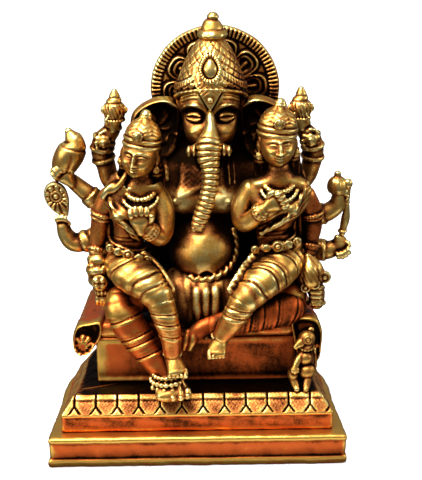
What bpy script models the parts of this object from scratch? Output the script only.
"""A small cast-brass shrine group: an elephant-headed deity seated on a throne, with a consort on each thigh.

Every separately modelled casting of the group is one object: the plinth, the lotus tier, the throne, the
figures' trunks, heads, crowns and limbs, and what the hands hold. In the foundry they are brazed into one
rigid group, so nothing turns or slides. Frame: +Z up, the figures face -Y, the origin is the middle of the
plinth's footprint. All sizes below are millimetres and are turned to metres where a mesh is made.
"""
import math

import bmesh
import bpy
from mathutils import Matrix, Vector

MM = 0.001
GAP = 0.3                # braze gap kept between neighbouring castings

# Driving sizes
BASE_WIDTH = 130.0       # plinth, along its straight front
BASE_DEPTH = 92.0        # plinth, front to back
PLINTH_TOP = 14.2
TIER_INSET = 6.0         # step from the plinth's lip to the lotus tier
TIER_SHOULDER = 22.0     # where the petals start to slope inwards
TIER_TOP = 29.5
PETAL_SLOPE = 5.5        # how far the petals lean in
THRONE_HALF = 43.0
THRONE_FRONT = -23.0
THRONE_BACK = 27.0
THRONE_TAPER = 3.5       # how far each side draws in towards the back
SEAT_UNDER = 50.5
SEAT_TOP = 58.5
AXIS_X = 6.0             # the figures sit a little to the right of the plinth's middle

FRONT_Y = -BASE_DEPTH / 2
X, Y, Z = Vector((1, 0, 0)), Vector((0, 1, 0)), Vector((0, 0, 1))

FINISHES = {
    "lacquered_brass": ((0.42, 0.17, 0.055, 1), 0.38),
    "polished_brass": ((0.66, 0.44, 0.13, 1), 0.30),
    "dark_brass": ((0.20, 0.12, 0.045, 1), 0.45),
}
SHAPES = {}              # node name -> function(grow) that makes its plain shape


# ---------------------------------------------------------------- shape makers

def section_frames(stations, deep_along, grow):
    """One matrix for each cross-section: a unit circle becomes an ellipse square to the limb's line."""
    centres = [Vector(s[:3]) for s in stations]
    frames = []
    for i, station in enumerate(stations):
        along = (centres[min(i + 1, len(centres) - 1)] - centres[max(i - 1, 0)]).normalized()
        deep = (deep_along - along * deep_along.dot(along)).normalized()
        across = deep.cross(along)
        wide = station[3] + grow
        thick = (station[4] if len(station) > 4 else station[3]) + grow
        end_shift = along * grow * ((i == len(stations) - 1) - (i == 0))
        frame = Matrix((across * wide, deep * thick, along)).transposed().to_4x4()
        frame.translation = centres[i] + end_shift
        frames.append(frame)
    return frames


def extruded(bm, cap, keep=False):
    """The new face that comes from extruding a cap. The old cap stays only where it closes the bottom."""
    made = bmesh.ops.extrude_face_region(bm, geom=[cap])["geom"]
    if not keep:
        bmesh.ops.delete(bm, geom=[cap], context="FACES_ONLY")
    return next(g for g in made if isinstance(g, bmesh.types.BMFace))


def limb(stations, grow=0.0, sides=10, deep_along=Y):
    """A cap extruded from section to section. A station is (x, y, z, half width[, half depth])."""
    bm = bmesh.new()
    frames = section_frames(stations, deep_along, grow)
    bmesh.ops.create_circle(bm, cap_ends=True, segments=sides, radius=1, matrix=frames[0])
    bm.faces.ensure_lookup_table()
    cap = bm.faces[0]
    for i in range(1, len(frames)):
        cap = extruded(bm, cap, keep=i == 1)
        bmesh.ops.transform(bm, matrix=frames[i] @ frames[i - 1].inverted(), verts=cap.verts)
    bmesh.ops.recalc_face_normals(bm, faces=bm.faces)
    return bm


def egg(centre, radii, grow=0.0, lean=0.0, columns=14, rows=9):
    """An ellipsoid, leaning by some degrees about the front-to-back axis."""
    bm = bmesh.new()
    size = Matrix.Diagonal([r + grow for r in radii]).to_4x4()
    place = Matrix.Translation(centre) @ Matrix.Rotation(math.radians(lean), 4, "Y") @ size
    bmesh.ops.create_uvsphere(bm, u_segments=columns, v_segments=rows, radius=1, matrix=place)
    return bm


def plate(outline, front, back, grow=0.0, taper=0.0):
    """An upright plate: an outline of (x, z) points, extruded back along Y and drawn in by a taper."""
    bm = bmesh.new()
    middle = sum((Vector(p) for p in outline), Vector((0, 0))) / len(outline)
    points = [Vector(p) + (Vector(p) - middle).normalized() * grow for p in outline]
    face = bm.faces.new([bm.verts.new((p.x, front - grow, p.y)) for p in points])
    made = bmesh.ops.extrude_face_region(bm, geom=[face])["geom"]
    far = [g for g in made if isinstance(g, bmesh.types.BMVert)]
    inwards = -math.copysign(taper, middle.x)
    bmesh.ops.translate(bm, vec=(inwards, back - front + 2 * grow, 0), verts=far)
    bmesh.ops.recalc_face_normals(bm, faces=bm.faces)
    return bm


def block(low, high, grow=0.0, edge=1.0, taper=0.0):
    """A box between two corners, its back drawn in by a taper on each side, with bevelled edges."""
    bm = bmesh.new()
    low = Vector(low) - Vector((grow,) * 3)
    high = Vector(high) + Vector((grow,) * 3)
    place = Matrix.Translation((low + high) / 2) @ Matrix.Diagonal(high - low).to_4x4()
    bmesh.ops.create_cube(bm, size=1, matrix=place)
    for vert in bm.verts:
        if vert.co.y > place.translation.y:
            vert.co.x -= math.copysign(taper, vert.co.x)
    bmesh.ops.bevel(bm, geom=bm.edges[:], offset=edge, segments=1, affect="EDGES")
    return bm


def base_outline(inset):
    """Plan of the base: a straight front, sides that close in a little, and a superellipse round the back."""
    square, shoulder_y, steps = 2.8, -10.0, 16
    half_front = BASE_WIDTH / 2 - inset
    half_side = BASE_WIDTH / 2 - 3.0 - inset
    reach = -FRONT_Y - inset - shoulder_y
    points = [(-half_front, FRONT_Y + inset), (half_front, FRONT_Y + inset)]
    for i in range(steps + 1):
        turn = math.pi * i / steps
        cos, sin = math.cos(turn), math.sin(turn)
        x = math.copysign(abs(cos) ** (2 / square), cos) * half_side
        points.append((x, shoulder_y + abs(sin) ** (2 / square) * reach))
    return points


def tier(levels, grow=0.0):
    """A slab with the base's plan: one ring for each level of (height, inset), bridged and closed."""
    bm = bmesh.new()
    rings = []
    for i, (height, inset) in enumerate(levels):
        lift = grow * ((i == len(levels) - 1) - (i == 0))
        corners = [bm.verts.new((x, y, height + lift)) for x, y in base_outline(inset - grow)]
        rings.append([bm.edges.new((corners[k - 1], corners[k])) for k in range(len(corners))])
    for below, above in zip(rings, rings[1:]):
        bmesh.ops.bridge_loops(bm, edges=below + above)
    for ring in (rings[0], rings[-1]):
        bmesh.ops.contextual_create(bm, geom=ring)
    bmesh.ops.recalc_face_normals(bm, faces=bm.faces)
    return bm


# ---------------------------------------------------------------- objects

def finish(name):
    """The Principled material of that name, made once."""
    made = bpy.data.materials.get(name)
    if made is None:
        colour, roughness = FINISHES[name]
        made = bpy.data.materials.new(name)
        made.use_nodes = True
        shader = made.node_tree.nodes["Principled BSDF"]
        shader.inputs["Base Color"].default_value = colour
        shader.inputs["Metallic"].default_value = 1.0
        shader.inputs["Roughness"].default_value = roughness
    return made


def to_object(name, bm):
    """A mesh object in metres from a bmesh in millimetres."""
    bmesh.ops.scale(bm, vec=(MM, MM, MM), verts=bm.verts)
    mesh = bpy.data.meshes.new(name)
    bm.to_mesh(mesh)
    bm.free()
    obj = bpy.data.objects.new(name, mesh)
    bpy.context.scene.collection.objects.link(obj)
    return obj


def clearance(name):
    """A hidden cutter: the named casting grown by the braze gap."""
    label = "clearance_" + name
    cutter = bpy.data.objects.get(label)
    if cutter is None:
        cutter = to_object(label, SHAPES[name](GAP))
        cutter.hide_render = True
        cutter.display_type = "WIRE"
    return cutter


def casting(name, material, shape, clear_of=()):
    """One casting. Where it would run into the castings in clear_of, it is cut back from them."""
    SHAPES[name] = shape
    obj = to_object(name, shape(0.0))
    obj.data.materials.append(finish(material))
    obj.data.shade_smooth()
    obj.data.set_sharp_from_angle(angle=math.radians(40))
    for neighbour in clear_of:
        cut = obj.modifiers.new("clear_" + neighbour, "BOOLEAN")
        cut.operation = "DIFFERENCE"
        cut.solver = "EXACT"
        cut.object = clearance(neighbour)
    return obj


def limb_casting(name, material, stations, clear_of=(), **how):
    """A casting whose shape is a limb."""
    return casting(name, material, lambda grow: limb(stations, grow, **how), clear_of)


# ---------------------------------------------------------------- base and throne

def make_base():
    """Plinth, lotus tier, throne block, seat slab and the two scrolled armrests."""
    lip, band = 0.0, 1.2
    casting("plinth", "lacquered_brass", lambda grow: tier(
        [(0, lip), (4.2, lip), (5.0, band), (12.2, band), (12.8, 0.4), (PLINTH_TOP, 1.2)], grow))
    casting("lotus_tier", "lacquered_brass", lambda grow: tier(
        [(PLINTH_TOP + GAP, TIER_INSET), (TIER_SHOULDER, TIER_INSET),
         (TIER_TOP, TIER_INSET + PETAL_SLOPE)], grow))
    casting("throne_block", "lacquered_brass", lambda grow: block(
        (-THRONE_HALF, THRONE_FRONT, TIER_TOP + GAP), (THRONE_HALF, THRONE_BACK, SEAT_UNDER - GAP), grow,
        taper=THRONE_TAPER))
    casting("seat_slab", "lacquered_brass", lambda grow: block(
        (-THRONE_HALF, THRONE_FRONT - 3, SEAT_UNDER), (THRONE_HALF, THRONE_BACK + 2, SEAT_TOP), grow,
        edge=1.5, taper=THRONE_TAPER))

    # Front view of an armrest: a strap that leaves the seat's edge and rolls down into a scroll
    straps = {
        "left": [(-43.5, 59.8), (-47.5, 59.6), (-50.6, 58.6), (-52.8, 55.6), (-54.2, 50), (-53.6, 45.6),
                 (-51.6, 43.8), (-47.6, 44.6), (-43.5, 47)],
        "right": [(43.5, 61.8), (49, 62.2), (53, 60.2), (54.6, 55), (54.2, 48.5), (52.8, 42),
                  (50.6, 38.6), (47.5, 39.5), (43.5, 45)],
    }
    for side, strap in straps.items():
        casting("armrest_" + side, "lacquered_brass",
                lambda grow, strap=strap: plate(strap, -24.5, 22.0, grow, taper=THRONE_TAPER))


# ---------------------------------------------------------------- main figure

def make_body():
    """Torso, belly, the two legs and the cloth that falls between them."""
    torso = [(5, 4, 59, 24, 15), (5, 3, 72, 23, 15), (5, 2, 84, 20, 13), (5.5, 2, 96, 18, 12),
             (6, 3, 108, 21, 12), (6, 4, 117, 21, 10), (6, 4, 122.5, 12, 9), (6, 3, 127, 8, 8)]
    limb_casting("torso", "dark_brass", torso, sides=14, clear_of=["seat_slab"])
    casting("belly", "polished_brass", lambda grow: egg((3.4, -8, 92.8), (14.5, 16.5, 15), grow),
            clear_of=["torso"])

    # Pendant leg, on the viewer's left, and the leg folded across the seat
    limb_casting("pendant_thigh", "lacquered_brass",
                 [(-10, -3, 68.5, 9.5), (-20, -11, 69, 9.5), (-29, -19, 69.5, 8.5), (-34, -24, 70.5, 6.5)],
                 clear_of=["torso"], deep_along=Z)
    limb_casting("pendant_shin", "lacquered_brass",
                 [(-35, -27, 71, 4.5), (-33.5, -29, 67, 6.5), (-27, -31, 58, 6.2), (-18, -32.5, 47, 5.2),
                  (-13.4, -34, 41.5, 4.4)], clear_of=["pendant_thigh", "seat_slab", "throne_block"])
    limb_casting("pendant_foot", "polished_brass",
                 [(-13.8, -30.5, 34.6, 4.2, 4.4), (-12, -35, 35.2, 5.6, 5.0), (-9.6, -40.5, 34.2, 6.8, 4.2),
                  (-8.6, -44.2, 33.0, 6.4, 2.8)],
                 clear_of=["pendant_shin", "lotus_tier", "throne_block"], deep_along=Z)
    limb_casting("folded_thigh", "lacquered_brass",
                 [(20, -3, 68.5, 9.5), (30, -9, 69, 9.5), (38, -15, 69.3, 9), (43.5, -19.5, 69, 7)],
                 clear_of=["torso", "armrest_right"], deep_along=Z)
    limb_casting("folded_shin", "lacquered_brass",
                 [(45, -23, 66.5, 4), (40, -26, 65.5, 6), (28, -29, 64, 6), (16, -30.5, 62, 5.4),
                  (8, -31, 60.5, 4.4)], clear_of=["folded_thigh", "seat_slab", "armrest_right"])
    limb_casting("folded_foot", "lacquered_brass",
                 [(4.6, -31, 60.5, 4.2, 3.6), (0, -32, 58.5, 4.4, 3.4), (-3, -32.5, 53.5, 4.2, 2.8),
                  (-4, -32.5, 49.5, 3.4, 1.8)], clear_of=["folded_shin", "seat_slab"])
    limb_casting("cloth_fall", "dark_brass",
                 [(4, -12, 80.5, 12, 4), (4, -20, 76, 14, 5), (4, -24.5, 68, 13, 4), (2, -26, 60, 9, 3)],
                 clear_of=["torso", "belly", "pendant_thigh", "folded_thigh", "folded_shin", "seat_slab",
                           "folded_foot"])


def make_head():
    """Head, trunk, tusks, ears, crown with jewel and finial, and the halo behind them."""
    limb_casting("head", "polished_brass",
                 [(5.7, -3, 127.5, 7.5, 8), (5.7, -4, 134, 11, 10.5), (5.7, -4, 142, 13, 11.5),
                  (5.7, -3, 150, 14.5, 12.5), (5.9, -2, 157.7, 14.5, 12.5)], sides=16,
                 clear_of=["torso"])
    limb_casting("trunk", "polished_brass",
                 [(5.6, -15, 151.5, 2.4, 3.5), (5.6, -18.5, 145.5, 3, 4), (5.5, -21.5, 140, 5, 5),
                  (5.6, -24, 136, 6.4, 5.4), (6.2, -26, 131.5, 5.2, 5), (6.8, -27.5, 125.5, 4.2, 4.3),
                  (6.2, -28.8, 118.5, 3.8, 4), (3.8, -29.6, 112.3, 3.8, 4), (0.6, -30, 107.4, 3.7, 3.7),
                  (-0.6, -30, 105, 2.6, 2.6)], clear_of=["head", "belly", "torso"])
    for side, sign in (("left", -1), ("right", 1)):
        limb_casting("tusk_" + side, "polished_brass",
                     [(5.1 + sign * 5.0, -21.5, 137, 2.0), (5.1 + sign * 7.6, -22, 136.8, 2.6),
                      (5.1 + sign * 10.4, -22.4, 136.6, 2.3)],
                     clear_of=["trunk", "head"], sides=8)
        ear = [(14, 152.5), (20, 155), (28, 153.8), (34, 149), (34.6, 141), (31.5, 133), (25.5, 127),
               (18.5, 125), (14.6, 131), (13.6, 142)]
        outline = [(AXIS_X + sign * x, z) for x, z in ear]
        casting("ear_" + side, "polished_brass",
                lambda grow, outline=outline: plate(outline, -1.5, 3.5, grow), clear_of=["head", "torso"])

    limb_casting("crown", "polished_brass",
                 [(6, -1, 158, 17, 15.5), (6.1, -1, 163, 16.2, 15), (6.4, -1, 170, 13.4, 13),
                  (6.8, -1, 176.5, 10, 10), (7, -1, 180, 7, 7)], sides=18, clear_of=["head"])
    casting("crown_jewel", "polished_brass", lambda grow: egg((5.7, -14.6, 168), (4.6, 2.4, 6.4), grow),
            clear_of=["crown"])
    limb_casting("crown_finial", "polished_brass",
                 [(7.1, -1, 180.3, 6), (7.2, -1, 182.6, 6.2), (7.4, -1, 185.2, 3.4), (7.5, -1, 187.4, 3.2),
                  (7.6, -1, 190, 1.3)])
    rim, steps = 28.3, 40
    circle = [(9.6 + rim * math.cos(2 * math.pi * i / steps), 153.8 + rim * math.sin(2 * math.pi * i / steps))
              for i in range(steps)]
    casting("halo", "dark_brass", lambda grow: plate(circle, 10.8, 13.8, grow),
            clear_of=["head", "crown", "torso", "ear_left", "ear_right"])


def make_arms():
    """Three arms behind each shoulder with what they hold, and the two front hands at the consorts' hips."""
    arms = {
        "arm_left_upper": [(-15.5, 5, 113.5, 4.4), (-28, 5.5, 112, 4.4), (-35.5, 5, 117, 4.3),
                           (-40, 4, 127, 4.6), (-39, 3, 134, 4.2), (-34.5, 2, 139.5, 3.4),
                           (-33.6, 2, 144.5, 3.6)],
        "arm_left_middle": [(-14.5, 4, 104, 4.2), (-30, 5, 102, 4.2), (-42, 3, 105.5, 4.0),
                            (-48.5, 2, 111.5, 4.2), (-53, 2, 116.4, 3.8)],
        "arm_left_lower": [(-13.5, 3, 93, 4.2), (-30, 4, 89.5, 4.2), (-44, 1, 89.5, 4.0),
                           (-53, 0, 91.5, 3.8), (-58, 0, 96.5, 3.6)],
        "arm_right_upper": [(27.5, 5, 113.5, 4.4), (40, 5.5, 112, 4.4), (48.5, 5, 116, 4.3),
                            (53, 4, 126, 4.6), (52, 3, 134, 4.2), (48, 2, 139.5, 3.5),
                            (47.3, 2, 144.5, 3.6)],
        "arm_right_middle": [(26.5, 4, 104, 4.2), (40, 5, 100, 4.2), (52, 3, 98, 4.0),
                             (59, 1, 103, 4.2), (61.5, 0, 107.5, 4.4)],
        "arm_right_lower": [(25.5, 3, 93, 4.2), (40, 4, 87, 4.2), (53, 2, 85.5, 4.0),
                            (60, 0, 85.5, 4.0), (66, 0, 85.8, 3.8)],
    }
    for name, stations in arms.items():
        limb_casting(name, "polished_brass", stations, clear_of=["torso"])

    limb_casting("bud_left_upper", "polished_brass",
                 [(-33.7, 2, 144.9, 3.4), (-34, 2, 148.6, 5.2), (-34, 2, 152, 4.6), (-33.2, 2, 154.8, 2.6),
                  (-32.4, 2, 157.6, 0.9)], clear_of=["arm_left_upper"])
    limb_casting("bud_right_upper", "polished_brass",
                 [(47.2, 2, 144.9, 3.4), (46.6, 2, 148.6, 5.2), (46.4, 2, 152, 4.6), (46.7, 2, 154.8, 2.6),
                  (46.8, 2, 157.6, 0.9)], clear_of=["arm_right_upper"])
    limb_casting("lotus_bud_left", "polished_brass",
                 [(-60.2, 2, 117.8, 2.0), (-57.6, 2, 122.5, 5.2), (-55.2, 2, 128, 5.8), (-53, 2, 134, 3.4),
                  (-52.2, 2, 138.4, 1.0)], clear_of=["arm_left_middle"])
    fan = [(-56.5, 99.5), (-53.6, 104.0), (-53.8, 109.5), (-56.6, 114.6), (-60.5, 117.2), (-64.2, 115.8),
           (-66.0, 111.5), (-64.6, 106.5), (-60.6, 101.6)]
    casting("lotus_fan_left", "polished_brass", lambda grow: plate(fan, -1.8, 1.4, grow),
            clear_of=["arm_left_lower", "lotus_bud_left", "arm_left_middle"])
    casting("sweet_bowl_right", "polished_brass", lambda grow: egg((62.2, 0, 113.2), (5, 5, 4.6), grow),
            clear_of=["arm_right_middle"])
    limb_casting("staff_right", "polished_brass", [(67.4, 0, 112.5, 1.9), (67, 0, 103, 1.8), (66.4, 0, 89.6, 1.9)],
                 clear_of=["arm_right_lower", "arm_right_middle", "sweet_bowl_right"], sides=8)
    limb_casting("front_hand_left", "polished_brass",
                 [(-40, -13, 88, 3.2), (-41, -17, 83.5, 4.6, 3.6), (-41, -19, 78, 4.4, 3.4),
                  (-39.5, -19.5, 73.8, 2.6, 2.2)], clear_of=["folded_thigh"])
    limb_casting("front_hand_right", "polished_brass",
                 [(47.5, -14, 86, 3.6), (48.6, -18, 81, 4.8, 3.8), (50.6, -20, 75, 4.6, 3.6),
                  (52.8, -20, 68.5, 4.0, 3.2), (52.6, -19, 63.5, 3.4, 3)],
                 clear_of=["folded_thigh", "folded_shin", "armrest_right"])


# ---------------------------------------------------------------- consorts

# Where the two consorts differ, joint by joint; their widths are shared.
LEFT_CONSORT = {
    "hip": (-29, -15, 84), "waist": (-27, -16, 94), "bust": (-23, -16.5, 107), "throat": (-21, -17, 115.5),
    "head": (-21.8, -19.5, 133.6), "lean": 6.0, "crown_foot": (-21.2, -19, 140), "crown_tip": (-19.2, -17.5, 155),
    "inner_arm": [(-11.5, -16, 110.5), (-9.6, -19, 105), (-11.6, -23, 100.6), (-16.4, -26, 102),
                  (-19.4, -27, 105.4), (-19.4, -27.4, 113.4)],
    "outer_arm": [(-34, -15, 110.5), (-38.4, -14, 103.4), (-41.4, -14.4, 95), (-44, -15.4, 86.6)],
    "thigh": [(-29.5, -17, 84), (-25, -26, 83), (-18.5, -33, 80), (-13.4, -36, 76)],
    "shin": [(-12.6, -36.4, 73), (-11.2, -36.4, 64), (-10.2, -36.4, 55), (-9.9, -36.6, 49.6)],
    "foot": [(-10, -35.2, 47.2), (-8.6, -39, 44.6), (-7.4, -42.6, 42.4)],
}
RIGHT_CONSORT = {
    "hip": (38, -15, 84.5), "waist": (33.4, -16, 97), "bust": (34.8, -16.5, 109.5), "throat": (35.6, -17, 117.5),
    "head": (35.3, -19.5, 134.6), "lean": 1.0, "crown_foot": (35.2, -19, 141), "crown_tip": (36.6, -17.5, 156.6),
    "inner_arm": [(24.6, -16, 112.6), (21.4, -18.4, 106.4), (20.6, -21.6, 101.8), (24.6, -24.6, 103.4),
                  (28.4, -26.4, 106.4), (34.4, -27.4, 110.4)],
    "outer_arm": [(47, -15, 112.4), (50, -14, 104), (50.8, -14.2, 95), (50.4, -15.2, 88.6)],
    "thigh": [(38, -17, 84.5), (33.4, -26, 83.6), (26.6, -33, 80), (20.6, -36, 75)],
    "shin": [(19, -36.4, 71.6), (15.2, -36.4, 65.4), (12, -36.4, 60), (10.4, -36.4, 57.2)],
    "foot": [(9.8, -35.6, 55.2), (8.8, -38.6, 52.4), (8, -41.4, 49.6)],
}


def make_consort(side, at):
    """Skirted hips and thighs, shins, feet, torso, two arms, head and crown of one consort."""
    tag = "consort_" + side + "_"

    def sized(key, *widths):
        return [(*point, *(w if isinstance(w, tuple) else (w,))) for point, w in zip(at[key], widths)]

    hip, waist, bust, throat = (Vector(at[k]) for k in ("hip", "waist", "bust", "throat"))
    torso = [(*(hip + Z * 4), 9.5, 7.6), (*waist, 6.8, 6), (*bust.lerp(waist, 0.4), 9, 6.8), (*bust, 11.4, 7),
             (*(bust + Z * 4.6), 11.6, 5.6), (*throat, 5.6, 4.6), (*(throat + Z * 5), 3.6, 3.8)]
    thighs = "folded_thigh" if side == "right" else "pendant_thigh"
    limb_casting(tag + "thighs", "polished_brass", sized("thigh", (11, 8.4), (9.6, 7.8), (8, 7.2), (6.4, 6.2)),
                 clear_of=["torso", "belly", thighs, "folded_shin", "cloth_fall", "front_hand_" + side],
                 deep_along=Z)
    limb_casting(tag + "shins", "polished_brass", sized("shin", 5.8, 5.2, 4.2, 3.4),
                 clear_of=[tag + "thighs", "folded_shin", "pendant_shin", "seat_slab"])
    limb_casting(tag + "foot", "polished_brass", sized("foot", (3.4, 3.4), (4.0, 3), (4.0, 2)),
                 clear_of=[tag + "shins", "pendant_foot", "pendant_shin", "seat_slab", "throne_block"],
                 deep_along=Z)
    limb_casting(tag + "torso", "polished_brass", torso, sides=12,
                 clear_of=["torso", "belly", tag + "thighs", "ear_" + side])
    limb_casting(tag + "inner_arm", "polished_brass",
                 sized("inner_arm", 4.0, 3.8, 3.8, 3.2, (3.0, 2.6), (3.6, 2.2)),
                 clear_of=[tag + "torso", "torso", "belly", "trunk"])
    limb_casting(tag + "outer_arm", "polished_brass", sized("outer_arm", 4.2, 3.9, 3.5, 2.9),
                 clear_of=[tag + "torso", tag + "thighs", "front_hand_" + side])
    casting(tag + "head", "polished_brass",
            lambda grow: egg(at["head"], (9.2, 9.4, 11.6), grow, at["lean"]),
            clear_of=[tag + "torso", "ear_" + side])
    foot, tip = Vector(at["crown_foot"]), Vector(at["crown_tip"])
    limb_casting(tag + "crown", "polished_brass",
                 [(*foot, 9.2, 9.2), (*foot.lerp(tip, 0.3), 8.6, 8.6), (*foot.lerp(tip, 0.58), 6.2, 6.2),
                  (*foot.lerp(tip, 0.78), 3.2, 3.2), (*tip, 1.8, 1.8)],
                 clear_of=[tag + "head", "ear_" + side], sides=12)


def make_mouse():
    """The mouse that stands on its hind legs at the throne's right corner."""
    limb_casting("mouse", "polished_brass",
                 [(43.6, -28.5, 30.1, 4.6, 4.0), (45, -28, 36, 5.6, 4.6), (46.6, -28, 42, 4.8, 4.4),
                  (47, -28.6, 48, 4.2, 4.0), (46.6, -30, 53.4, 4.8, 4.4), (47.4, -30.4, 58, 3.2, 3.0)],
                 clear_of=["seat_slab", "throne_block", "armrest_right", "folded_shin", "lotus_tier"])


def clear_scene():
    for obj in list(bpy.data.objects):
        bpy.data.objects.remove(obj)


def main():
    clear_scene()
    make_base()
    make_body()
    make_head()
    make_arms()
    make_consort("left", LEFT_CONSORT)
    make_consort("right", RIGHT_CONSORT)
    make_mouse()


main()
